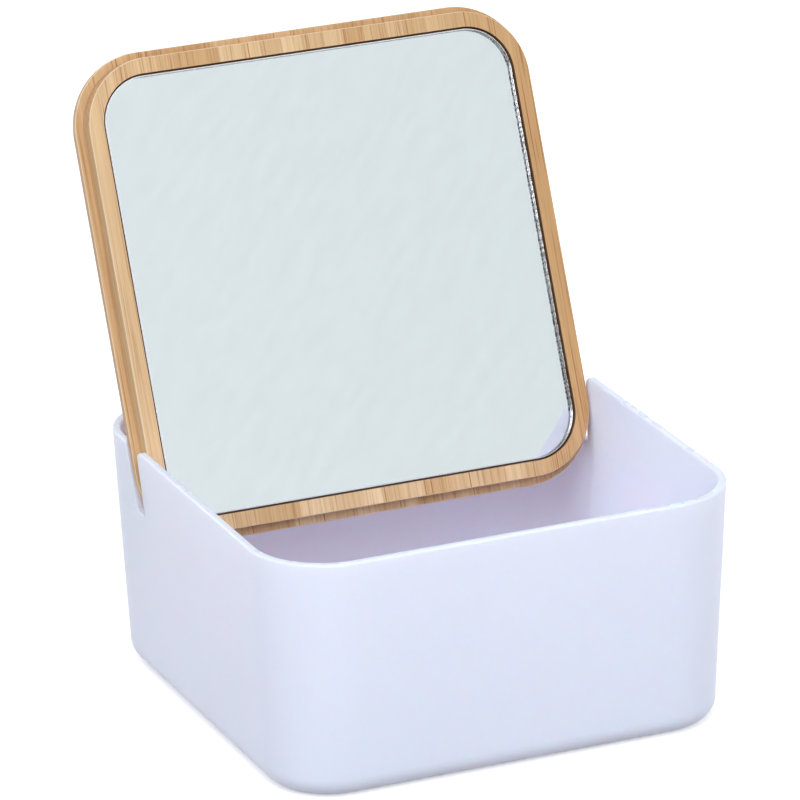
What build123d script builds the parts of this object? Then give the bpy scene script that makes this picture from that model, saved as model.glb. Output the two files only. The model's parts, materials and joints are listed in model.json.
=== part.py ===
"""Open storage box with a bamboo lid that carries a mirror on its underside.

The lid closes the box lying on the rim, its plug inside the walls. Here it stands in two slots in
the side walls, leaning back, with the mirror towards the front. The strips that the lid is glued up
from, the mirror and its tape are separate pieces.

Millimetres. X runs left to right, Y from the front to the rear and Z up. The origin is the centre
of the box's underside.
"""
import os
from math import cos, hypot, radians, sin, sqrt, tan

from build123d import *

# Box, one plastic moulding. Widths are taken at the rim, because the walls are drafted.
box_width = 185.0
box_depth = 185.0
box_height = 92.0
wall = 3.1
floor_thickness = 3.0
corner_radius = 29.5
base_radius = 8.0
draft = 2.85  # degrees, each wall
rim_rounding = 0.8

# Slots, one in each side wall
slot_setback = 35.8  # rear corner of the slot at the rim, from the outside of the rear wall
slot_depth = 25.0
slot_front_slope = 9.2  # degrees from the vertical
slot_rear_slope = 17.0
nose_radius = 3.0  # front corner of the slot at the rim
heel_radius = 1.5  # rear corner of the slot at the rim
slot_floor_radius = 1.2

# Lid board: a flange as large as the rim, and a plug that drops inside the walls
rim_reveal = 0.9  # rim left showing round the closed lid
flange_thickness = 3.8
plug_thickness = 7.8
plug_clearance = 0.4  # plug to wall, at the plug's full depth
strip_width = 8.33  # as sawn; planed so that whole strips fill the board
back_rounding = 1.2
arris_rounding = 0.4

# Mirror, taped into a recess in the plug's face
recess_border = 5.9
recess_corner_radius = 18.3
glass_thickness = 3.0
glass_gap = 0.7  # glass to recess wall, all round
glass_sink = 0.5  # glass below the plug's face
glass_arris = 0.3
tape_thickness = 0.5
tape_width = 25.0
tape_inset = 12.0  # tape's ends, from the glass's edge
tape_count = 3

# How the lid stands in the slots
lid_tilt = 23.6  # degrees, leaning back
slot_gap = 0.3  # lid's faces to the slots' faces, where they come closest
rest_gap = 0.3  # lid's rounded corners to the slots' floors

# Worked out: closed lid
lid_width = box_width - 2 * rim_reveal
lid_length = box_depth - 2 * rim_reveal
lid_corner_radius = corner_radius - rim_reveal
lid_thickness = flange_thickness + plug_thickness
ledge = wall + plug_thickness * tan(radians(draft)) + plug_clearance - rim_reveal
strip_count = round(lid_width / strip_width)
strip_pitch = lid_width / strip_count
recess_inset = ledge + recess_border
recess_depth = glass_sink + glass_thickness + tape_thickness

# Worked out: slots, as Y and Z in the side walls
slot_floor_z = box_height - slot_depth
slot_rear_y = box_depth / 2 - slot_setback
rear_slope = radians(slot_rear_slope)
slot_floor_rear_y = slot_rear_y - slot_depth * tan(rear_slope)

# Worked out: standing lid. Its back leans on the heel rounding, a slot gap off it. The rounding's
# centre is heel_y, heel_z.
tilt = radians(lid_tilt)
heel_z = box_height - heel_radius
heel_y = slot_rear_y - heel_radius * tan(rear_slope) + heel_radius / cos(rear_slope)
back_y_at_heel = heel_y - (heel_radius + slot_gap) / cos(tilt)


def back_y(z):
    """Y of the lid's back face at height z."""
    return back_y_at_heel + (z - heel_z) * tan(tilt)


def slot_front_y(z):
    """Y of the slots' front faces at height z. At the floor they clear the flange's front face."""
    flange_front = back_y(slot_floor_z) - (flange_thickness + slot_gap) / cos(tilt)
    return flange_front + (z - slot_floor_z) * tan(radians(slot_front_slope))


# Its rounded corners stand a rest gap above the slot floors, where they cross the floors' inner edges.
inner_wall_x = box_width / 2 - wall - slot_depth * tan(radians(draft))
corner_drop = lid_corner_radius - (lid_width / 2 - inner_wall_x)
corner_rise = lid_corner_radius - sqrt(lid_corner_radius**2 - corner_drop**2)
foot_z = slot_floor_z + rest_gap - corner_rise * cos(tilt)
lid_plane = Plane(
    origin=(0, back_y(foot_z), foot_z),
    x_dir=(1, 0, 0),
    z_dir=(0, -cos(tilt), sin(tilt)),
)


def drafted_block(inset, bottom_z, bottom_rounding):
    """Solid inside the drafted walls, from the rim down to bottom_z, inset level from the outside."""
    rim_plane = Plane(origin=(0, 0, box_height), x_dir=(1, 0, 0), z_dir=(0, 0, -1))
    plan = RectangleRounded(box_width - 2 * inset, box_depth - 2 * inset, corner_radius - inset)
    block = extrude(rim_plane * plan, amount=box_height - bottom_z, taper=draft)
    return fillet(block.faces().sort_by(Axis.Z)[0].edges(), bottom_rounding)


def slot_cutter():
    """Prism through both side walls, with square corners."""
    above = box_height + slot_depth
    outline = [
        (slot_front_y(above), above),
        (slot_front_y(slot_floor_z), slot_floor_z),
        (slot_floor_rear_y, slot_floor_z),
        (slot_rear_y + slot_depth * tan(rear_slope), above),
    ]
    face = Plane.YZ * make_face(Polyline(outline, close=True))
    return extrude(face, amount=box_width, both=True)


def cross_edges(solid):
    """Short edges along X: the slots' corners, which run through the side walls."""
    return solid.edges().filter_by(Axis.X).filter_by(lambda edge: edge.length < 2 * wall)


def round_slot_corner(shell, y, z, radius):
    """Round one corner of both slots."""
    here = cross_edges(shell).filter_by(lambda edge: hypot(edge.center().Y - y, edge.center().Z - z) < 0.01)
    return fillet(here, radius)


def box_shell():
    """Shell with a drafted wall, rounded base, rounded rim and the two slots."""
    shell = drafted_block(0, 0, base_radius)
    shell -= drafted_block(wall, floor_thickness, base_radius - wall)
    shell -= slot_cutter()
    shell = round_slot_corner(shell, slot_front_y(box_height), box_height, nose_radius)
    shell = round_slot_corner(shell, slot_rear_y, box_height, heel_radius)
    shell = round_slot_corner(shell, slot_front_y(slot_floor_z), slot_floor_z, slot_floor_radius)
    shell = round_slot_corner(shell, slot_floor_rear_y, slot_floor_z, slot_floor_radius)
    across = cross_edges(shell)
    lowest = slot_floor_z - rim_rounding
    rim = shell.edges().filter_by(lambda edge: edge.bounding_box().min.Z > lowest and edge not in across)
    return fillet(rim, rim_rounding)


def lid_layer(inset, radius, low, high):
    """Slab of the lid between two heights above its back face. Y runs up from the lid's foot."""
    outline = Pos(0, lid_length / 2) * RectangleRounded(lid_width - 2 * inset, lid_length - 2 * inset, radius)
    return extrude(Plane.XY.offset(low) * outline, amount=high - low)


def lid_board():
    """The glued board, lying on its back face."""
    flange = lid_layer(0, lid_corner_radius, 0, flange_thickness)
    flange = fillet(flange.faces().sort_by(Axis.Z)[0].edges(), back_rounding)
    flange = fillet(flange.faces().sort_by(Axis.Z)[-1].edges(), arris_rounding)
    plug = lid_layer(ledge, lid_corner_radius - ledge, 0, lid_thickness)
    plug = fillet(plug.faces().sort_by(Axis.Z)[-1].edges(), arris_rounding)
    recess = lid_layer(recess_inset, recess_corner_radius, lid_thickness - recess_depth, lid_thickness)
    return flange + plug - recess


def lid_strips():
    """The board's strips, from left to right."""
    board = lid_board()
    strips = []
    for index in range(strip_count):
        x = (index - (strip_count - 1) / 2) * strip_pitch
        slab = Pos(x, lid_length / 2, lid_thickness / 2) * Box(strip_pitch, 2 * lid_length, 2 * lid_thickness)
        strips.append(board & slab)
    return strips


def mirror_glass():
    """Silvered pane, with its edge ground all round."""
    front = lid_thickness - glass_sink
    pane = lid_layer(recess_inset + glass_gap, recess_corner_radius - glass_gap, front - glass_thickness, front)
    return chamfer(pane.faces().sort_by(Axis.Z)[-1].edges(), glass_arris)


def mirror_tape():
    """Strips of double-sided tape between the recess's floor and the pane."""
    pane_width = lid_width - 2 * (recess_inset + glass_gap)
    pane_length = lid_length - 2 * (recess_inset + glass_gap)
    pitch = (pane_width - 2 * tape_inset - tape_width) / (tape_count - 1)
    bottom = lid_thickness - recess_depth
    strips = []
    for index in range(tape_count):
        x = (index - (tape_count - 1) / 2) * pitch
        strip = Box(tape_width, pane_length - 2 * tape_inset, tape_thickness)
        strips.append(Pos(x, lid_length / 2, bottom + tape_thickness / 2) * strip)
    return strips


def stand(piece):
    """Piece of the lid, moved from where it was drawn lying down to where it stands."""
    return lid_plane.location * piece


def save(shape, name):
    """Write one piece, or one group of like pieces, to its own file."""
    export_step(shape, f"parts/{name}.step")


os.makedirs("parts", exist_ok=True)
save(box_shell(), "box_shell")
for number, strip in enumerate(lid_strips(), start=1):
    save(stand(strip), f"lid_strip_{number:02d}")
save(stand(mirror_glass()), "mirror_glass")
save(Compound([stand(strip) for strip in mirror_tape()]), "mirror_tape")
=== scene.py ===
"""Finishes, studio and camera for an open storage box whose standing bamboo lid carries a mirror.

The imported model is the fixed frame. Its plastic box, bamboo strips and foam tape keep their meshes
and get their materials here. The mirror is rebuilt as a pane of glass, silvered on its back, with a
ground edge. Lengths are metres, but the bamboo's patterns are drawn in millimetres on the lid.
"""

import json
from math import atan2, cos, pi, radians, sin

import bpy
import numpy as np
from bpy.props import FloatProperty, FloatVectorProperty, IntProperty, PointerProperty
from bpy.types import Operator, Panel, PropertyGroup
from mathutils import Matrix, Vector


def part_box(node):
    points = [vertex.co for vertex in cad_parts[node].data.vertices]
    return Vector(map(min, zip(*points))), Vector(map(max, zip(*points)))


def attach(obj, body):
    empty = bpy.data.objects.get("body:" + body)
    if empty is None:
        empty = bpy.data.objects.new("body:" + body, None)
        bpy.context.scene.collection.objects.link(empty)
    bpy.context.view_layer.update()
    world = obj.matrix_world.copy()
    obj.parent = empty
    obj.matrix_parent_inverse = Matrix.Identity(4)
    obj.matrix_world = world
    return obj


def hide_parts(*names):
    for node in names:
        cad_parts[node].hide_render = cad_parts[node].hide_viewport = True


bl_info = {
    "name": "Mirror lid box",
    "version": (1, 0, 0),
    "blender": (4, 5, 0),
    "location": "3D view > Sidebar > Mirror box",
    "description": "Gives a moulded box with a bamboo mirror lid its finishes, studio and camera",
    "category": "Object",
}

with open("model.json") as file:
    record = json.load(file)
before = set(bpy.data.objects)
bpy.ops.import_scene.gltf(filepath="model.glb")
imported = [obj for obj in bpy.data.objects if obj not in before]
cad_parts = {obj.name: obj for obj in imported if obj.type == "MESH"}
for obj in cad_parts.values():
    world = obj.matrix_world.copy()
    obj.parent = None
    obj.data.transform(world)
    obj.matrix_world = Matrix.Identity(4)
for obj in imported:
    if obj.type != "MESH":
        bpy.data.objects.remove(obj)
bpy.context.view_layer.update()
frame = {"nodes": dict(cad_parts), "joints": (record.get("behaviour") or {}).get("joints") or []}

MM = 0.001

# Sockets of a colour Mix node, by number because its names repeat for the other kinds of data
FACTOR, FIRST, SECOND, MIXED = 0, 6, 7, 2

# The lid lifts along its own slope, so the joint's axis gives the way up the lid.
LIFT = frame["joints"][0]["axis"]
TILT = atan2(LIFT[1], LIFT[2])
UP_LID = Vector((0, sin(TILT), cos(TILT)))
OUT_OF_LID = Vector((0, -cos(TILT), sin(TILT)))
STRIPS = sorted(name for name in frame["nodes"] if name.startswith("lid_strip"))

# How dark each strip of the lid is, from left to right: 0 is the palest in the batch, 9 the darkest.
STRIP_TONES = (2, 2, 3, 3, 5, 6, 6, 1, 2, 4, 1, 4, 2, 6, 4, 3, 5, 3, 5, 6, 6, 7)
DARKEST_TONE = 9


def lid_span(*names):
    """Lowest and highest x, distance up the lid and distance out of the lid, over the named nodes."""
    points = []
    for name in names:
        vertices = frame["nodes"][name].data.vertices
        flat = np.empty(len(vertices) * 3, np.float32)
        vertices.foreach_get("co", flat)
        points.append(flat.reshape(-1, 3))
    points = np.concatenate(points)
    along = np.stack([points[:, 0], points @ np.array(UP_LID), points @ np.array(OUT_OF_LID)], axis=1)
    return along.min(axis=0), along.max(axis=0)


LID_LOW, LID_HIGH = lid_span(*STRIPS)
LID_FOOT, LID_BACK = float(LID_LOW[1]), float(LID_LOW[2])
LID_LENGTH = float(LID_HIGH[1]) - LID_FOOT
RECESS_FLOOR = float(lid_span("mirror_tape")[0][2]) - LID_BACK


def linear(code):
    """sRGB hex to linear red, green and blue: each channel through the sRGB curve."""
    channels = [int(code[i:i + 2], 16) / 255 for i in (1, 3, 5)]
    return tuple(c / 12.92 if c <= 0.04045 else ((c + 0.055) / 1.055) ** 2.4 for c in channels)


# ---------------------------------------------------------------- settings


class PlasticSettings(PropertyGroup):
    """The box's moulded plastic."""

    colour: FloatVectorProperty(
        name="Colour", description="Pigmented plastic", default=linear("#EEECFF"), subtype="COLOR"
    )
    roughness: FloatProperty(
        name="Roughness", description="Satin of the mould", default=0.36, min=0, max=1, subtype="FACTOR"
    )
    grit: FloatProperty(
        name="Grit", description="Spacing of the mould's texture",
        default=0.5 * MM, unit="LENGTH", precision=5,
    )
    grit_depth: FloatProperty(
        name="Grit depth", description="Depth of the mould's texture",
        default=0.003 * MM, unit="LENGTH", precision=6,
    )


class BambooSettings(PropertyGroup):
    """The lid's glued bamboo strips."""

    pale: FloatVectorProperty(
        name="Palest strip", description="Inner culm wood", default=linear("#EDCC9F"), subtype="COLOR"
    )
    dark: FloatVectorProperty(
        name="Darkest strip", description="Outer culm wood", default=linear("#BC8A50"), subtype="COLOR"
    )
    fibre: FloatVectorProperty(
        name="Fibres", description="Fibre bundles, browner than the wood between",
        default=linear("#A56628"), subtype="COLOR",
    )
    # Painted highlight: the pale colour that the front arrises are mixed towards, in place of their glint
    sanded: FloatVectorProperty(
        name="Sanded arris", description="Arrises, paler where they are sanded",
        default=linear("#F6DFBC"), subtype="COLOR",
    )
    # The cutter's browning, deepened as painted shade of the narrow gap round the mirror
    scorch_and_shade: FloatVectorProperty(
        name="Scorched wall", description="Recess wall, browned by the cutter",
        default=linear("#80593C"), subtype="COLOR",
    )
    fibre_spacing: FloatProperty(
        name="Fibre spacing", description="Middle of one bundle to the next",
        default=0.85 * MM, unit="LENGTH", precision=5,
    )
    fibre_run: FloatProperty(
        name="Fibre run", description="Length over which a bundle stays in a surface",
        default=70 * MM, unit="LENGTH",
    )
    lacquer_roughness: FloatProperty(
        name="Lacquer roughness", description="Satin of the lacquer",
        default=0.42, min=0, max=1, subtype="FACTOR",
    )
    seed: IntProperty(name="Seed", description="Picks where each strip was cut from the culm", default=7)


class MirrorSettings(PropertyGroup):
    """The mirror pane."""

    glass: FloatVectorProperty(
        name="Glass", description="Tint of float glass, seen through and back",
        default=linear("#FCFEFD"), subtype="COLOR",
    )
    silver: FloatVectorProperty(
        name="Silver", description="Silver coat on the pane's back",
        default=linear("#E2E2E6"), subtype="COLOR",
    )
    edge: FloatVectorProperty(
        name="Edge", description="Silver lapped over the edge", default=linear("#B4B2AA"), subtype="COLOR"
    )
    frost: FloatVectorProperty(
        name="Frost", description="Ground glass", default=linear("#FEFEFC"), subtype="COLOR"
    )
    paint: FloatVectorProperty(
        name="Paint", description="Paint behind the silver, seen in the chips",
        default=linear("#46301C"), subtype="COLOR",
    )
    corner_radius: FloatProperty(
        name="Corner radius", description="Pane's corners, in plan",
        default=17.6 * MM, unit="LENGTH", precision=4,
    )
    arris: FloatProperty(
        name="Arris", description="Width ground off the pane's front edges",
        default=0.4 * MM, unit="LENGTH", precision=5,
    )
    back_arris: FloatProperty(
        name="Back arris", description="Width ground off the pane's back edges",
        default=0.1 * MM, unit="LENGTH", precision=5,
    )
    chip: FloatProperty(
        name="Chips", description="Deepest chip along the ground edge",
        default=0.25 * MM, unit="LENGTH", precision=5,
    )
    chip_seed: IntProperty(name="Chip seed", description="Picks where the chips fall", default=3)
    coat: FloatProperty(
        name="Coat", description="Room for the silver and the paint behind the glass",
        default=0.05 * MM, unit="LENGTH", precision=6,
    )


class TapeSettings(PropertyGroup):
    """The tape that holds the mirror."""

    colour: FloatVectorProperty(
        name="Colour", description="Foam", default=linear("#ECECE6"), subtype="COLOR"
    )
    cell: FloatProperty(
        name="Cell", description="Size of the foam's cells",
        default=0.3 * MM, unit="LENGTH", precision=5,
    )


class StudioSettings(PropertyGroup):
    """Floor, light and camera."""

    floor: FloatVectorProperty(
        name="Floor", description="Opal acrylic of the light table",
        default=linear("#F6F6F6"), subtype="COLOR",
    )
    bounce: FloatVectorProperty(
        name="Bounce", description="The floor as light that the box has scattered finds it",
        default=linear("#707070"), subtype="COLOR",
    )
    glow: FloatProperty(name="Glow", description="Light that comes up through the floor", default=0.45)
    light: FloatVectorProperty(
        name="Light", description="Colour of all the light, a cool daylight",
        default=(0.875, 0.925, 1.0), subtype="COLOR",
    )
    room_light: FloatProperty(
        name="Room light", description="Brightness of the room's sides and back", default=1.08
    )
    front_light: FloatProperty(
        name="Front light", description="Brightness of the white wall in front", default=1.37
    )
    ceiling: FloatProperty(
        name="Ceiling", description="Brightness of the ceiling, as a share of the walls'", default=0.38
    )
    front: FloatVectorProperty(
        name="Front", description="Direction of the white wall in front",
        default=(0.25, -0.90, 0.36), subtype="DIRECTION",
    )
    card: FloatVectorProperty(
        name="Card", description="Pale green card that the mirror shows",
        default=(0.945, 1.03, 1.02), subtype="COLOR",
    )
    card_place: FloatVectorProperty(
        name="Card place", description="Direction of the card",
        default=(0.447, -0.803, 0.395), subtype="DIRECTION",
    )
    key_power: FloatProperty(
        name="Key power", description="Overhead softbox", default=13.0, unit="POWER"
    )
    key_size: FloatProperty(
        name="Key size", description="Side of the overhead softbox", default=1.0, unit="LENGTH"
    )
    key_place: FloatVectorProperty(
        name="Key place", description="Middle of the overhead softbox",
        default=(-0.6, -1.1, 1.25), subtype="XYZ",
    )
    rim_power: FloatProperty(
        name="Rim power", description="Softbox behind, that the rim glints in", default=2.7, unit="POWER"
    )
    rim_size: FloatProperty(
        name="Rim size", description="Side of the softbox behind", default=0.5, unit="LENGTH"
    )
    rim_place: FloatVectorProperty(
        name="Rim place", description="Middle of the softbox behind",
        default=(-0.17, 1.3, 0.85), subtype="XYZ",
    )
    fill_power: FloatProperty(
        name="Fill power", description="Gridded softbox that reaches inside", default=0.016, unit="POWER"
    )
    fill_size: FloatProperty(
        name="Fill size", description="Side of the gridded softbox", default=0.1, unit="LENGTH"
    )
    fill_spread: FloatProperty(
        name="Fill spread", description="Angle that the grid lets out",
        default=radians(12), unit="ROTATION",
    )
    fill_place: FloatVectorProperty(
        name="Fill place", description="Middle of the gridded softbox",
        default=(-0.45, -0.15, 0.55), subtype="XYZ",
    )
    azimuth: FloatProperty(
        name="Azimuth", description="Camera's angle round the object",
        default=radians(-23.582), unit="ROTATION",
    )
    elevation: FloatProperty(
        name="Elevation", description="Camera's angle above the floor",
        default=radians(20.314), unit="ROTATION",
    )
    roll: FloatProperty(
        name="Roll", description="Camera's turn about its view", default=radians(-0.93), unit="ROTATION"
    )
    distance: FloatProperty(
        name="Distance", description="Camera to its target", default=2.4742, unit="LENGTH"
    )
    target: FloatVectorProperty(
        name="Target", description="Point that the camera turns about",
        default=(0.0013, -0.0265, 0.1204), subtype="XYZ",
    )
    lens: FloatProperty(
        name="Lens", description="Focal length in millimetres on a 36 mm sensor", default=307.91
    )
    shift: FloatProperty(
        name="Shift", description="Sideways shift, as a share of the frame", default=-0.0589
    )


class MirrorBoxSettings(PropertyGroup):
    """All settings of the box."""

    plastic: PointerProperty(type=PlasticSettings)
    bamboo: PointerProperty(type=BambooSettings)
    mirror: PointerProperty(type=MirrorSettings)
    tape: PointerProperty(type=TapeSettings)
    studio: PointerProperty(type=StudioSettings)


# ---------------------------------------------------------------- materials


def settle(tree, node, inputs):
    """Give a node's sockets their values and links."""
    for name, value in inputs.items():
        if isinstance(value, bpy.types.NodeSocket):
            tree.links.new(value, node.inputs[name])
        else:
            node.inputs[name].default_value = value


def add(tree, kind, inputs=None, **settings):
    """Add a node. Settings are its own properties; inputs give each socket a value or a link."""
    node = tree.nodes.new("ShaderNode" + kind)
    for name, value in settings.items():
        setattr(node, name, value)
    settle(tree, node, inputs or {})
    return node


def new_material(name):
    """An empty material, with its node tree and its Principled shader already joined to the output."""
    material = bpy.data.materials.new(name)
    material.use_nodes = True
    tree = material.node_tree
    tree.nodes.clear()
    shader = add(tree, "BsdfPrincipled")
    add(tree, "OutputMaterial", {"Surface": shader.outputs["BSDF"]})
    return material, tree, shader


def opaque(colour):
    """Red, green, blue and a full alpha."""
    return (*colour, 1.0)


def moulded_plastic(settings):
    """Polypropylene, injection-moulded in a spark-eroded steel mould.

    The pigment gives a very pale lavender white with a faint flow mottling, the mould an even satin
    with a fine grit, and the resin lets a little light into its surface. The rim is rubbed glossier
    by the lid and the foot duller by the table. The real grit is about 0.1 mm apart, and is drawn
    coarser so that it shows.
    """
    flow_size, handling_size = 45 * MM, 14 * MM
    rubbed_height, scuffed_height = 1.5 * MM, 0.6 * MM
    rubbed_gloss, scuffed_dulling, handling = -0.08, 0.15, 0.05
    material, tree, shader = new_material("polypropylene_satin_moulded")
    place = add(tree, "TexCoord").outputs["Object"]
    height = add(tree, "SeparateXYZ", {"Vector": place}).outputs["Z"]
    flow = add(tree, "TexNoise", {"Vector": place, "Scale": 1 / flow_size, "Detail": 2.0})
    pigment = add(
        tree,
        "MapRange",
        {"Value": flow.outputs["Fac"], "From Min": 0.3, "From Max": 0.7, "To Min": 0.99, "To Max": 1.0},
    )
    colour = add(
        tree,
        "Mix",
        {FACTOR: 1.0, FIRST: opaque(settings.colour), SECOND: pigment.outputs[0]},
        data_type="RGBA",
        blend_type="MULTIPLY",
    )
    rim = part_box("box_shell")[1].z
    rubbed = add(
        tree,
        "MapRange",
        {"Value": height, "From Min": rim - rubbed_height, "From Max": rim, "To Max": rubbed_gloss},
    )
    scuffed = add(
        tree,
        "MapRange",
        {"Value": height, "From Min": scuffed_height, "From Max": 0.0, "To Max": scuffed_dulling},
    )
    handled = add(tree, "TexNoise", {"Vector": place, "Scale": 1 / handling_size, "Detail": 4.0})
    satin = add(
        tree,
        "MapRange",
        {
            "Value": handled.outputs["Fac"],
            "To Min": settings.roughness - handling,
            "To Max": settings.roughness + handling,
        },
    )
    worn = add(tree, "Math", {0: rubbed.outputs[0], 1: scuffed.outputs[0]}, operation="ADD")
    roughness = add(tree, "Math", {0: satin.outputs[0], 1: worn.outputs[0]}, operation="ADD")
    grit = add(tree, "TexNoise", {"Vector": place, "Scale": 1 / settings.grit, "Detail": 1.0})
    bump = add(tree, "Bump", {"Height": grit.outputs["Fac"], "Distance": settings.grit_depth})
    settle(
        tree,
        shader,
        {
            "Base Color": colour.outputs[MIXED],
            "Roughness": roughness.outputs[0],
            "Normal": bump.outputs["Normal"],
            "IOR": 1.49,
            "Subsurface Weight": 0.6,
            "Subsurface Radius": (1.0, 0.5, 0.6),
            "Subsurface Scale": 16 * MM,
        },
    )
    return material


def culm_noise(tree, lid, cut, width, run, detail):
    """Noise drawn out along the culm: its spots are width across and run along, in millimetres."""
    scale = (1 / width, 1 / run, 1 / width)
    place = add(tree, "Mapping", {"Vector": lid, "Location": cut["offset"], "Scale": scale})
    noise = add(tree, "TexNoise", {"Vector": place.outputs["Vector"], "Scale": 1.0, "Detail": detail})
    return noise.outputs["Fac"]


def fibre_bundles(tree, lid, across, low, high, cut, settings):
    """Share of fibre in a strip whose sides are at low and high, in millimetres across the lid.

    A bundle is a long cell up the culm, brown in its middle. Each cell's own random number picks how
    strong it is, and all are stronger towards the side that was nearest the culm's skin.
    """
    spacing, run = settings.fibre_spacing / MM, settings.fibre_run / MM
    scale = (1 / spacing, 1 / run, 0.4 / spacing)
    edge, heart = 0.42, 0.15  # from a cell's middle, as shares of the spacing
    place = add(tree, "Mapping", {"Vector": lid, "Location": cut["offset"], "Scale": scale})
    bundles = add(tree, "TexVoronoi", {"Vector": place.outputs["Vector"], "Scale": 1.0})
    core = add(
        tree,
        "MapRange",
        {"Value": bundles.outputs["Distance"], "From Min": edge, "From Max": heart},
        interpolation_type="SMOOTHSTEP",
    ).outputs[0]
    drawn = add(tree, "SeparateXYZ", {"Vector": bundles.outputs["Color"]}).outputs["X"]
    pick = add(
        tree,
        "MapRange",
        {"Value": drawn, "From Min": 0.45, "From Max": 0.85, "To Min": 0.05, "To Max": 1.0},
    ).outputs[0]
    inside, outside = (low, high) if cut["skin_right"] else (high, low)
    skin = add(tree, "MapRange", {"Value": across, "From Min": inside, "From Max": outside}).outputs[0]
    crowd = add(
        tree,
        "MapRange",
        {"Value": skin, "To Min": cut["streaks"] - 0.3, "To Max": cut["streaks"] + 0.15},
    ).outputs[0]
    strength = add(tree, "Math", {0: crowd, 1: pick}, operation="MULTIPLY", use_clamp=True).outputs[0]
    return add(tree, "Math", {0: core, 1: strength}, operation="MULTIPLY").outputs[0]


def culm_node(tree, up, broad, cut):
    """Node of the culm: a brown band across the strip, whose height is waved by the broad noise."""
    wave, mean_wave = 2.5, 1.2  # millimetres, as are the band's edge and heart from its middle
    edge, heart, strength = 1.6, 0.2, 0.4
    waved = add(tree, "Math", {0: broad, 1: wave}, operation="MULTIPLY").outputs[0]
    above = add(tree, "Math", {0: up, 1: cut["node_up"] + mean_wave}, operation="SUBTRACT").outputs[0]
    offset = add(tree, "Math", {0: above, 1: waved}, operation="ADD").outputs[0]
    distance = add(tree, "Math", {0: offset}, operation="ABSOLUTE").outputs[0]
    return add(
        tree,
        "MapRange",
        {"Value": distance, "From Min": edge, "From Max": heart, "To Max": strength},
        interpolation_type="SMOOTHSTEP",
    ).outputs[0]


def glue_lines(tree, across, low, high):
    """Thin brown glue line along both sides of a strip, at low and high in millimetres."""
    glue_width, strength = 0.14, 0.35
    half, middle = 0.5 * (high - low), 0.5 * (high + low)
    offset = add(tree, "Math", {0: across, 1: middle}, operation="SUBTRACT").outputs[0]
    distance = add(tree, "Math", {0: offset}, operation="ABSOLUTE").outputs[0]
    return add(
        tree,
        "MapRange",
        {"Value": distance, "From Min": half - glue_width, "From Max": half, "To Max": strength},
    ).outputs[0]


def painted_arris_highlight(tree, facing):
    """Painted highlight on the front arrises: they alone look partly out of the lid and partly sideways.
    """
    outward = add(
        tree, "VectorMath", {0: facing, 1: OUT_OF_LID}, operation="DOT_PRODUCT"
    ).outputs["Value"]
    rises = add(tree, "MapRange", {"Value": outward, "From Min": 0.1, "From Max": 0.4}).outputs[0]
    falls = add(tree, "MapRange", {"Value": outward, "From Min": 0.99, "From Max": 0.9}).outputs[0]
    return add(tree, "Math", {0: rises, 1: falls}, operation="MULTIPLY").outputs[0]


def recess_scorch_and_shade(tree, place, facing):
    """Wall and floor of the mirror's recess, browned by the cutter and deepened as painted shade.

    Both are told by the distance from a face to the middle of the lid's back, along the way that the
    face looks. On the wall it is over 45 mm, and on the floor it is the floor's height below zero.
    """
    wall_starts, wall_full = 0.030, 0.045
    floor_starts, floor_full = 0.4 * MM, 0.1 * MM
    strength = 0.9
    lid_middle = LID_LENGTH / 2 * UP_LID + LID_FOOT * UP_LID + LID_BACK * OUT_OF_LID
    to_middle = add(tree, "VectorMath", {0: lid_middle, 1: place}, operation="SUBTRACT").outputs["Vector"]
    inward = add(
        tree, "VectorMath", {0: to_middle, 1: facing}, operation="DOT_PRODUCT"
    ).outputs["Value"]
    wall = add(
        tree,
        "MapRange",
        {"Value": inward, "From Min": wall_starts, "From Max": wall_full, "To Max": strength},
    ).outputs[0]
    offset = add(tree, "Math", {0: inward, 1: RECESS_FLOOR}, operation="ADD").outputs[0]
    distance = add(tree, "Math", {0: offset}, operation="ABSOLUTE").outputs[0]
    floor = add(
        tree,
        "MapRange",
        {"Value": distance, "From Min": floor_starts, "From Max": floor_full, "To Max": strength},
    ).outputs[0]
    return add(tree, "Math", {0: wall, 1: floor}, operation="MAXIMUM").outputs[0]


def wood_with_painted_shade(tree, up, out, broad, colour, settings):
    """The wood between the fibres, darkened up the lid as painted shade where it stands above the box.

    The recessed flange behind the face gets more of it than the face, and broad clouds are darker.
    """
    shade_starts, shade_full = 5.0, 60.0  # millimetres up the lid
    face, side = 11.5, 9.0  # millimetres out of the lid
    # Painted shade up the lid, stronger on the recessed flange: the paler foot stands for light from the
    # box
    above = add(tree, "MapRange", {"Value": up, "From Min": shade_starts, "From Max": shade_full}).outputs[0]
    browner = add(
        tree,
        "MapRange",
        {"Value": out, "From Min": face, "From Max": side, "To Min": 0.2, "To Max": 0.38},
    ).outputs[0]
    painted_shade = add(tree, "Math", {0: above, 1: browner}, operation="MULTIPLY").outputs[0]
    cloudy = add(
        tree, "MapRange", {"Value": broad, "From Min": 0.35, "From Max": 0.7, "To Max": 0.22}
    ).outputs[0]
    darker = add(tree, "Math", {0: painted_shade, 1: cloudy}, operation="ADD").outputs[0]
    return add(
        tree,
        "Mix",
        {FACTOR: darker, FIRST: opaque(colour), SECOND: opaque(settings.dark)},
        data_type="RGBA",
    ).outputs[MIXED]


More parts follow.
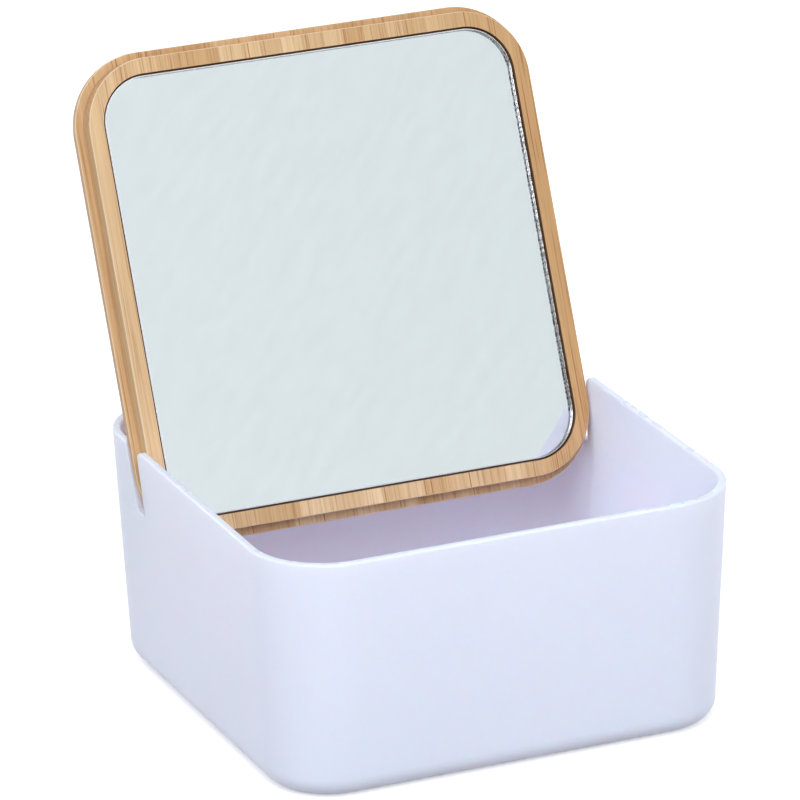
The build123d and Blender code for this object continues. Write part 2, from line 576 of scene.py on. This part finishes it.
def lacquered_bamboo(name, colour, settings, strip_low, strip_high, cut):
    """Moso bamboo, sawn into strips, edge-glued, sanded and lacquered satin.

    Fibre bundles run up the lid, so its faces show fine brown streaks and its end grain shows dots.
    They crowd towards the side of the strip that was nearest the culm's skin. A node crosses some
    strips as a darker band. The lacquer gives a soft even sheen, and the glue a thin darker line.
    """
    material, tree, shader = new_material(name)
    coordinates = add(tree, "TexCoord")
    place, facing = coordinates.outputs["Object"], coordinates.outputs["Normal"]

    # Millimetres across the lid, up it from its foot and out of it from its back
    lid = add(
        tree,
        "Mapping",
        {
            "Vector": place,
            "Scale": (1 / MM,) * 3,
            "Rotation": (TILT - pi / 2, 0, 0),
            "Location": (0, -LID_FOOT / MM, -LID_BACK / MM),
        },
    ).outputs["Vector"]
    across, up, out = add(tree, "SeparateXYZ", {"Vector": lid}).outputs
    low, high = strip_low / MM, strip_high / MM

    fine = culm_noise(tree, lid, cut, width=0.6, run=40, detail=3.0)
    broad = culm_noise(tree, lid, cut, width=3.2, run=160, detail=1.0)
    wood = wood_with_painted_shade(tree, up, out, broad, colour, settings)
    grain = add(
        tree,
        "MapRange",
        {"Value": fine, "From Min": 0.3, "From Max": 0.6, "To Min": 1.1, "To Max": 0.95},
    ).outputs[0]
    grained = add(
        tree, "Mix", {FACTOR: 1.0, FIRST: wood, SECOND: grain}, data_type="RGBA", blend_type="MULTIPLY"
    ).outputs[MIXED]

    # Single fibres between the bundles, in groups
    fibres = fibre_bundles(tree, lid, across, low, high, cut, settings)
    thin = add(
        tree,
        "MapRange",
        {"Value": fine, "From Min": 0.56, "From Max": 0.64, "To Max": 0.6 * cut["streaks"]},
    ).outputs[0]
    grouped = add(
        tree, "MapRange", {"Value": broad, "From Min": 0.4, "From Max": 0.6, "To Min": 0.2}
    ).outputs[0]
    lines = add(tree, "Math", {0: thin, 1: grouped}, operation="MULTIPLY").outputs[0]
    darkening = fibres
    for mark in (lines, culm_node(tree, up, broad, cut), glue_lines(tree, across, low, high)):
        darkening = add(tree, "Math", {0: darkening, 1: mark}, operation="MAXIMUM").outputs[0]

    # End grain, on faces that look up or down the lid, soaks up lacquer and is darker
    lengthwise = add(
        tree, "VectorMath", {0: facing, 1: UP_LID}, operation="DOT_PRODUCT"
    ).outputs["Value"]
    end_grain = add(tree, "Math", {0: lengthwise}, operation="ABSOLUTE").outputs[0]
    soaked = add(tree, "Math", {0: end_grain, 1: 0.5}, operation="MULTIPLY").outputs[0]
    # Painted highlight: the front arrises are mixed towards a pale colour, as if they caught the light
    sanded = painted_arris_highlight(tree, facing)
    paler = add(tree, "Math", {0: sanded, 1: 0.6}, operation="MULTIPLY").outputs[0]
    coats = (
        (darkening, settings.fibre),
        (soaked, settings.fibre),
        (paler, settings.sanded),
        # The cutter's browning of the recess, deepened as painted shade of the narrow gap round the
        # mirror
        (recess_scorch_and_shade(tree, place, facing), settings.scorch_and_shade),
    )
    finished = grained
    for share, coat in coats:
        finished = add(
            tree, "Mix", {FACTOR: share, FIRST: finished, SECOND: opaque(coat)}, data_type="RGBA"
        ).outputs[MIXED]

    relief = add(tree, "Math", {0: fine, 1: fibres}, operation="SUBTRACT").outputs[0]
    bump = add(tree, "Bump", {"Height": relief, "Distance": 0.012 * MM}).outputs["Normal"]
    roughness = add(
        tree,
        "MapRange",
        {
            "Value": fine,
            "To Min": settings.lacquer_roughness - 0.08,
            "To Max": settings.lacquer_roughness + 0.10,
        },
    ).outputs[0]
    settle(
        tree,
        shader,
        {
            "Base Color": finished,
            "Roughness": roughness,
            "Normal": bump,
            "IOR": 1.45,
            "Coat Weight": 0.1,
            "Coat Roughness": 0.3,
        },
    )
    return material


def float_glass(settings):
    """Float glass, 3 mm, as drawn: clear and flat, with a slight green from its iron."""
    material, tree, shader = new_material("float_glass_clear")
    settle(
        tree,
        shader,
        {"Base Color": opaque(settings.glass), "Roughness": 0.0, "IOR": 1.52, "Transmission Weight": 1.0},
    )
    return material


def chipped(tree, grit, settings):
    """Share of the ground glass that is chipped, where grit is its roughness.

    Chips come along the pane's right side, more and more towards its foot, and stop at the lower
    corner. The real ones are about 0.3 mm across, and are drawn at 1 mm so that they show.
    """
    spot = add(tree, "SeparateXYZ", {"Vector": add(tree, "TexCoord").outputs["Object"]})
    across, height = spot.outputs["X"], spot.outputs["Z"]
    low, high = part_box("mirror_glass")
    radius = settings.corner_radius
    sound, more = -0.3, 0.03  # added to the grit, where no chip shows and where they are most frequent
    chip_starts, chip_full = 0.48, 0.54
    places = (
        {
            "Value": across,
            "From Min": high.x - radius,
            "From Max": high.x,
            "To Min": sound,
            "To Max": 0.0,
        },
        {"Value": height, "From Min": high.z, "From Max": low.z, "To Max": more},
        {
            "Value": height,
            "From Min": low.z + 0.5 * radius,
            "From Max": low.z + radius,
            "To Min": sound,
            "To Max": 0.0,
        },
    )
    total = grit
    for place in places:
        here = add(tree, "MapRange", place).outputs[0]
        total = add(tree, "Math", {0: total, 1: here}, operation="ADD").outputs[0]
    return add(
        tree,
        "MapRange",
        {"Value": total, "From Min": chip_starts, "From Max": chip_full},
        interpolation_type="SMOOTHSTEP",
    ).outputs[0]


def ground_grit(tree):
    """Roughness left by the grinding belt, as noise at 1 mm, since its real 0.1 mm wouldn't show."""
    place = add(tree, "TexCoord").outputs["Object"]
    return add(tree, "TexNoise", {"Vector": place, "Scale": 1 / (1.0 * MM), "Detail": 2.0}).outputs["Fac"]


def seamed_edge(settings):
    """Edge of float glass, cut and seamed on a belt, with the silver lapped over it.

    That gives a dull metal grey, with dark specks of the mirror's paint where it is chipped.
    """
    material, tree, shader = new_material("float_glass_seamed_edge")
    grit = ground_grit(tree)
    colour = add(
        tree,
        "Mix",
        {
            FACTOR: chipped(tree, grit, settings),
            FIRST: opaque(settings.edge),
            SECOND: opaque(settings.paint),
        },
        data_type="RGBA",
    ).outputs[MIXED]
    roughness = add(tree, "MapRange", {"Value": grit, "To Min": 0.1, "To Max": 0.3})
    bump = add(tree, "Bump", {"Height": grit, "Distance": 0.02 * MM})
    settle(
        tree,
        shader,
        {
            "Base Color": colour,
            "Metallic": 1.0,
            "Roughness": roughness.outputs[0],
            "Normal": bump.outputs["Normal"],
        },
    )
    return material


def frosted_arris(settings):
    """Arris of float glass, dulled on a grinding belt.

    That gives a fine white frost, with dark specks of the mirror's paint in its chips.
    """
    material, tree, shader = new_material("float_glass_frosted_arris")
    grit = ground_grit(tree)
    colour = add(
        tree,
        "Mix",
        {
            FACTOR: chipped(tree, grit, settings),
            FIRST: opaque(settings.frost),
            SECOND: opaque(settings.paint),
        },
        data_type="RGBA",
    ).outputs[MIXED]
    bump = add(tree, "Bump", {"Height": grit, "Distance": 0.05 * MM})
    settle(
        tree,
        shader,
        {
            "Base Color": colour,
            "Roughness": 0.5,
            "Normal": bump.outputs["Normal"],
            "IOR": 1.52,
            "Transmission Weight": 0.15,
        },
    )
    return material


def silver_coat(settings):
    """Silver, chemically deposited on the glass and painted over.

    That gives a clean mirror, with faint slanting marks about 5 mm by 16 mm where it was wiped.
    """
    material, tree, shader = new_material("silver_deposited_mirror_coat")
    place = add(tree, "TexCoord").outputs["Object"]
    wiped = add(
        tree,
        "Mapping",
        {"Vector": place, "Rotation": (0, radians(45), 0), "Scale": (5 * MM, 10 * MM, 16 * MM)},
        vector_type="TEXTURE",
    )
    marks = add(
        tree,
        "TexNoise",
        {"Vector": wiped.outputs["Vector"], "Scale": 1.0, "Detail": 3.0, "Roughness": 0.5},
    )
    haze = add(
        tree,
        "MapRange",
        {"Value": marks.outputs["Fac"], "From Min": 0.3, "From Max": 0.7, "To Min": 0.97, "To Max": 1.0},
    )
    colour = add(
        tree,
        "Mix",
        {FACTOR: 1.0, FIRST: opaque(settings.silver), SECOND: haze.outputs[0]},
        data_type="RGBA",
        blend_type="MULTIPLY",
    )
    settle(tree, shader, {"Base Color": colour.outputs[MIXED], "Metallic": 1.0, "Roughness": 0.02})
    return material


def foam_tape(settings):
    """Polyethylene foam tape, die-cut: matt white, with small closed cells."""
    material, tree, shader = new_material("polyethylene_foam_tape")
    place = add(tree, "TexCoord").outputs["Object"]
    cells = add(tree, "TexVoronoi", {"Vector": place, "Scale": 1 / settings.cell})
    shade = add(tree, "MapRange", {"Value": cells.outputs["Distance"], "To Min": 1.0, "To Max": 0.85})
    colour = add(
        tree,
        "Mix",
        {FACTOR: 1.0, FIRST: opaque(settings.colour), SECOND: shade.outputs[0]},
        data_type="RGBA",
        blend_type="MULTIPLY",
    )
    bump = add(tree, "Bump", {"Height": cells.outputs["Distance"], "Distance": 0.05 * MM})
    settle(
        tree,
        shader,
        {"Base Color": colour.outputs[MIXED], "Roughness": 0.75, "Normal": bump.outputs["Normal"]},
    )
    return material


def light_table(settings):
    """Opal acrylic of a light table, cast and matted: white, its own glow lifting the shadow on it.

    Light that the box has scattered finds it darker and without the glow, so the box's sides are lit
    less from below than from above. Its matt tooth, really about 0.1 mm, is drawn at 2 mm.
    """
    material, tree, shader = new_material("opal_acrylic_light_table")
    place = add(tree, "TexCoord").outputs["Object"]
    tooth = add(tree, "TexNoise", {"Vector": place, "Scale": 1 / (2 * MM), "Detail": 2.0})
    shade = add(tree, "MapRange", {"Value": tooth.outputs["Fac"], "To Min": 0.99, "To Max": 1.0})
    scattered = add(tree, "LightPath").outputs["Is Diffuse Ray"]
    acrylic = add(
        tree,
        "Mix",
        {FACTOR: scattered, FIRST: opaque(settings.floor), SECOND: opaque(settings.bounce)},
        data_type="RGBA",
    )
    glow = add(tree, "MapRange", {"Value": scattered, "To Min": settings.glow, "To Max": 0.0})
    colour = add(
        tree,
        "Mix",
        {FACTOR: 1.0, FIRST: acrylic.outputs[MIXED], SECOND: shade.outputs[0]},
        data_type="RGBA",
        blend_type="MULTIPLY",
    )
    settle(
        tree,
        shader,
        {
            "Base Color": colour.outputs[MIXED],
            "Roughness": 0.9,
            "Specular IOR Level": 0.2,
            "Emission Color": opaque(settings.floor),
            "Emission Strength": glow.outputs[0],
        },
    )
    return material


def wear(piece, *materials):
    """Give a piece its materials, in place of any it has.

    A new piece has none to clear, and clearing would lose which of its faces wears which.
    """
    if piece.data.materials:
        piece.data.materials.clear()
    for material in materials:
        piece.data.materials.append(material)


# ---------------------------------------------------------------- new surfaces


def rounded_rectangle(half_width, half_height, radius, inset, step):
    """Outline of a rounded rectangle, anticlockwise, as points about a step apart.

    Each point is a corner's centre, or a point on the straight between two centres, plus radius less
    inset along the outward direction there. inset is one number, or one for each point.
    """
    core = np.array([half_width - radius, half_height - radius])
    centres = np.array([(1, 1), (-1, 1), (-1, -1), (1, -1)]) * core
    arc_count = max(4, round(radius * pi / 2 / step))
    bases, directions = [], []
    for corner in range(4):
        turn = corner * pi / 2 + np.linspace(0, pi / 2, arc_count, endpoint=False)
        bases.append(np.repeat(centres[corner][None], arc_count, axis=0))
        directions.append(np.stack([np.cos(turn), np.sin(turn)], axis=1))
        following = centres[(corner + 1) % 4]
        count = round(np.linalg.norm(following - centres[corner]) / step)
        share = np.linspace(0, 1, count, endpoint=False)[:, None]
        bases.append(centres[corner] + share * (following - centres[corner]))
        straight = (corner + 1) * pi / 2
        directions.append(np.repeat([[cos(straight), sin(straight)]], count, axis=0))
    bases, directions = np.concatenate(bases), np.concatenate(directions)
    return bases + directions * (radius - np.reshape(inset, (-1, 1)))


def chip_pattern(count, step, deepest, seed):
    """Depth of the chips along a ground edge.

    Two random series, smoothed over a chip's length and a group's, are multiplied. Only what rises
    above the middle of each stays, so chips come in groups with sound edge between them.
    """
    chip_length, group_length = 0.5 * MM, 3 * MM
    tallest = 2  # standard deviations at which a series is cut off
    random = np.random.default_rng(seed)
    depths = np.ones(count)
    for width in (chip_length, group_length):
        length = max(1, round(width / step))
        series = random.random(count + length)
        window = np.hanning(length + 2)[1:-1]
        smooth = np.convolve(series, window / window.sum(), mode="same")[:count]
        smooth = (smooth - smooth.mean()) / smooth.std()
        depths *= np.clip(smooth, 0, tallest) / tallest
    return deepest * depths / depths.max()


def closed_rings(rings, first_pole, last_pole):
    """Surface through closed rings of equal count, with a pole at each end.

    Gives its vertices, a band of quads between each ring and the next, and a fan of triangles from
    each pole to the ring beside it.
    """
    count = len(rings[0])
    vertices = np.concatenate([*rings, [first_pole], [last_pole]])
    here = np.arange(count)
    following = (here + 1) % count
    bands = []
    for row in range(len(rings) - 1):
        low, high = row * count, (row + 1) * count
        bands.append(np.stack([low + here, high + here, high + following, low + following], axis=1))
    last_ring = (len(rings) - 1) * count
    first, last = np.full(count, len(rings) * count), np.full(count, len(rings) * count + 1)
    fans = [
        np.stack([first, here, following], axis=1),
        np.stack([last, last_ring + following, last_ring + here], axis=1),
    ]
    return vertices, bands, fans


def build_mesh(name, vertices, faces):
    """A piece from arrays of vertices and faces."""
    mesh = bpy.data.meshes.new(name)
    mesh.from_pydata(vertices.tolist(), [], faces)
    mesh.update()
    piece = bpy.data.objects.new(name, mesh)
    bpy.context.scene.collection.objects.link(piece)
    return piece


def mirror_pane(settings):
    """Pane as closed rings round the lid's middle: front face, front arris, edge, back arris, back face.

    A ring is the pane's outline moved in by an inset, at a height out of the lid. The arris takes the
    inset from the ground width, plus the chips, down to nothing, while the height falls as much. A
    ring partway down lies outside the straight between the two, so the arris is rounded.
    """
    low, high = lid_span("mirror_glass")
    middle = 0.5 * (low + high)
    half_width, half_height = 0.5 * (high - low)[:2]
    front, back = high[2], low[2] + settings.coat
    step = 0.25 * MM
    flat_border = 4 * MM
    count = len(rounded_rectangle(half_width, half_height, settings.corner_radius, 0, step))
    chips = chip_pattern(count, step, settings.chip, settings.chip_seed)
    arris = settings.arris
    profile = [
        (flat_border, front),
        (arris + chips, front),
        (0.35 * arris + 0.6 * chips, front - 0.5 * arris - 0.3 * chips),
        (0, front - arris - chips),
        (0, back + settings.back_arris),
        (settings.back_arris, back),
    ]
    rings = []
    for inset, height in profile:
        outline = rounded_rectangle(half_width, half_height, settings.corner_radius, inset, step)
        rings.append(on_lid(outline + middle[:2], np.broadcast_to(height, count)))
    poles = [on_lid(middle[None, :2], np.array([height]))[0] for height in (front, back)]
    vertices, bands, fans = closed_rings(rings, *poles)

    # Front face, arris, edge with the back arris, and back face: one material each
    bands = [band.tolist() for band in bands]
    fans = [fan.tolist() for fan in fans]
    groups = [fans[0] + bands[0], sum(bands[1:3], []), sum(bands[3:], []), fans[1]]
    piece = build_mesh("mirror_pane", vertices, sum(groups, []))
    slots = np.repeat(np.arange(len(groups)), [len(group) for group in groups]).astype(np.int32)
    piece.data.polygons.foreach_set("material_index", slots)
    return piece


def on_lid(plan, height):
    """Points of the frame, from rows of x and distance up the lid, and the distance out of the lid."""
    across = plan[:, :1] * np.array([[1.0, 0, 0]])
    return across + plan[:, 1:] * np.array([UP_LID]) + height[:, None] * np.array([OUT_OF_LID])


# ---------------------------------------------------------------- operators


class FinishBoxShell(Operator):
    """Give the moulded box its plastic"""

    bl_idname = "mirror_box.finish_box_shell"
    bl_label = "Box shell"

    def execute(self, context):
        wear(frame["nodes"]["box_shell"], moulded_plastic(context.scene.mirror_box.plastic))
        return {"FINISHED"}


class FinishLidStrips(Operator):
    """Give each bamboo strip of the lid its own piece of culm"""

    bl_idname = "mirror_box.finish_lid_strips"
    bl_label = "Lid strips"

    def execute(self, context):
        settings = context.scene.mirror_box.bamboo
        random = np.random.default_rng(settings.seed)
        pale, dark = np.array(settings.pale), np.array(settings.dark)
        border = 3  # strips at each side that have no node
        off_the_lid = -100.0
        for number, (name, tone) in enumerate(zip(STRIPS, STRIP_TONES, strict=True), start=1):
            low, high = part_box(name)
            # Which side faced the culm's skin, the place in the culm in millimetres, how strong the
            # streaks are, more so in dark strips, and how far up the lid a node crosses
            cut = {
                "skin_right": bool(random.random() < 0.5),
                "offset": tuple(random.uniform(-500, 500, 3)),
                "streaks": random.uniform(0.7, 1.3) * (0.85 + tone / 20),
                "node_up": off_the_lid,
            }
            if border < number <= len(STRIPS) - border and random.random() < 0.6:
                cut["node_up"] = random.uniform(0.15, 0.85) * LID_LENGTH / MM
            colour = tuple(pale + (dark - pale) * tone / DARKEST_TONE)
            finish = f"bamboo_lacquered_{number:02d}"
            material = lacquered_bamboo(finish, colour, settings, low.x, high.x, cut)
            wear(frame["nodes"][name], material)
        return {"FINISHED"}


class MakeMirrorPane(Operator):
    """Build the silvered pane, with its ground and chipped edge"""

    bl_idname = "mirror_box.make_mirror_pane"
    bl_label = "Mirror pane"

    def execute(self, context):
        settings = context.scene.mirror_box.mirror
        piece = mirror_pane(settings)
        finishes = (float_glass, frosted_arris, seamed_edge, silver_coat)
        wear(piece, *(finish(settings) for finish in finishes))
        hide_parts("mirror_glass")
        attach(piece, "lid")
        return {"FINISHED"}


class FinishMirrorTape(Operator):
    """Give the mirror's tape its foam"""

    bl_idname = "mirror_box.finish_mirror_tape"
    bl_label = "Mirror tape"

    def execute(self, context):
        wear(frame["nodes"]["mirror_tape"], foam_tape(context.scene.mirror_box.tape))
        return {"FINISHED"}


class SetStage(Operator):
    """Lay the floor, hang the lights and place the camera"""

    bl_idname = "mirror_box.set_stage"
    bl_label = "Stage"

    def execute(self, context):
        settings = context.scene.mirror_box.studio
        lay_floor(settings)
        hang_lights(context.scene, settings)
        place_camera(context.scene, settings)
        return {"FINISHED"}


def lay_floor(settings):
    """Top of the light table: a flat square, just under the box."""
    half_side, drop = 8.0, 0.1 * MM
    signs = ((-1, -1), (1, -1), (1, 1), (-1, 1))
    corners = np.array([(x * half_side, y * half_side, -drop) for x, y in signs])
    floor = build_mesh("floor", corners, [(0, 1, 2, 3)])
    wear(floor, light_table(settings))


def hang_lights(scene, settings):
    """A white room, a pale green card that the mirror shows, and three softboxes.

    The room is brighter towards its front wall and dimmer overhead. One softbox hangs overhead, one
    behind for the rim to glint in, and a gridded one lights the inner side of the right wall.
    """
    # Cosines of the angle from the front wall's middle, and from the card's, where each fades in
    wall_starts, wall_full = 0.1, 0.9
    card_starts, card_full = 0.955, 0.998
    # Sines of the height above the horizon, where the ceiling starts and straight overhead
    ceiling_starts, overhead_full = 0.4, 1.0
    box_middle, right_wall_inside = (0, 0, 0.08), (0.085, -0.02, 0.035)
    world = bpy.data.worlds.new("studio")
    world.use_nodes = True
    tree = world.node_tree
    towards = add(tree, "TexCoord").outputs["Generated"]
    front = Vector(settings.front).normalized()
    facing = add(tree, "VectorMath", {0: towards, 1: front}, operation="DOT_PRODUCT")
    brightness = add(
        tree,
        "MapRange",
        {
            "Value": facing.outputs["Value"],
            "From Min": wall_starts,
            "From Max": wall_full,
            "To Min": settings.room_light,
            "To Max": settings.front_light,
        },
        interpolation_type="SMOOTHSTEP",
    )
    overhead = add(
        tree,
        "MapRange",
        {
            "Value": add(tree, "SeparateXYZ", {"Vector": towards}).outputs["Z"],
            "From Min": ceiling_starts,
            "From Max": overhead_full,
            "To Min": 1.0,
            "To Max": settings.ceiling,
        },
    )
    strength = add(tree, "Math", {0: brightness.outputs[0], 1: overhead.outputs[0]}, operation="MULTIPLY")
    room = add(tree, "VectorMath", {0: settings.light, "Scale": strength.outputs[0]}, operation="SCALE")
    card = Vector(settings.card_place).normalized()
    nearness = add(tree, "VectorMath", {0: towards, 1: card}, operation="DOT_PRODUCT")
    on_card = add(
        tree,
        "MapRange",
        {"Value": nearness.outputs["Value"], "From Min": card_starts, "From Max": card_full},
    )
    seen = add(
        tree,
        "Mix",
        {FACTOR: on_card.outputs[0], FIRST: room.outputs["Vector"], SECOND: opaque(settings.card)},
        data_type="RGBA",
    )
    settle(tree, tree.nodes["Background"], {"Color": seen.outputs[MIXED]})
    scene.world = world
    key = (settings.key_power, settings.key_size, settings.key_place)
    rim = (settings.rim_power, settings.rim_size, settings.rim_place)
    fill = (settings.fill_power, settings.fill_size, settings.fill_place)
    hang_softbox("key_softbox", settings.light, *key, box_middle)
    hang_softbox("rim_softbox", settings.light, *rim, box_middle)
    gridded = hang_softbox("inner_fill", settings.light, *fill, right_wall_inside)
    gridded.spread = settings.fill_spread


def hang_softbox(name, colour, power, size, place, target):
    """Hang a square softbox at a place, turned to a target, and give its lamp."""
    lamp = bpy.data.lights.new(name, "AREA")
    lamp.shape = "SQUARE"
    lamp.size = size
    lamp.energy = power
    lamp.color = colour
    softbox = bpy.data.objects.new(name, lamp)
    softbox.location = place
    aim = Vector(target) - softbox.location
    softbox.rotation_euler = aim.to_track_quat("-Z", "Y").to_euler()
    bpy.context.scene.collection.objects.link(softbox)
    return lamp


def place_camera(scene, settings):
    """Camera on a sphere round its target, rolled about its view."""
    azimuth, elevation, roll = settings.azimuth, settings.elevation, settings.roll
    back = Vector((sin(azimuth) * cos(elevation), -cos(azimuth) * cos(elevation), sin(elevation)))
    right = (-back).cross(Vector((0, 0, 1))).normalized()
    up = right.cross(-back)
    rolled_right = cos(roll) * right + sin(roll) * up
    rolled_up = cos(roll) * up - sin(roll) * right
    data = bpy.data.cameras.new("camera")
    data.sensor_width = 36
    data.lens = settings.lens
    data.shift_x = settings.shift
    camera = bpy.data.objects.new("camera", data)
    turn = Matrix((rolled_right, rolled_up, back)).transposed().to_4x4()
    camera.matrix_world = Matrix.Translation(Vector(settings.target) + settings.distance * back) @ turn
    scene.collection.objects.link(camera)
    scene.camera = camera
    scene.view_settings.view_transform = "Standard"


# ---------------------------------------------------------------- panel and registration

STEPS = (FinishBoxShell, FinishLidStrips, MakeMirrorPane, FinishMirrorTape, SetStage)


class MirrorBoxPanel(Panel):
    """Lists the box's steps in the sidebar"""

    bl_idname = "VIEW3D_PT_mirror_box"
    bl_label = "Mirror box"
    bl_space_type = "VIEW_3D"
    bl_region_type = "UI"
    bl_category = "Mirror box"

    def draw(self, context):
        for step in STEPS:
            self.layout.operator(step.bl_idname)


CLASSES = (
    PlasticSettings,
    BambooSettings,
    MirrorSettings,
    TapeSettings,
    StudioSettings,
    MirrorBoxSettings,
    *STEPS,
    MirrorBoxPanel,
)


def register():
    """Make the settings, operators and panel known to Blender."""
    for item in CLASSES:
        bpy.utils.register_class(item)
    bpy.types.Scene.mirror_box = PointerProperty(type=MirrorBoxSettings)


def unregister():
    """Undo register."""
    del bpy.types.Scene.mirror_box
    for item in reversed(CLASSES):
        bpy.utils.unregister_class(item)


def main():
    """Run every step in order."""
    register()
    bpy.ops.mirror_box.finish_box_shell()
    bpy.ops.mirror_box.finish_lid_strips()
    bpy.ops.mirror_box.make_mirror_pane()
    bpy.ops.mirror_box.finish_mirror_tape()
    bpy.ops.mirror_box.set_stage()


if __name__ == "__main__":
    main()
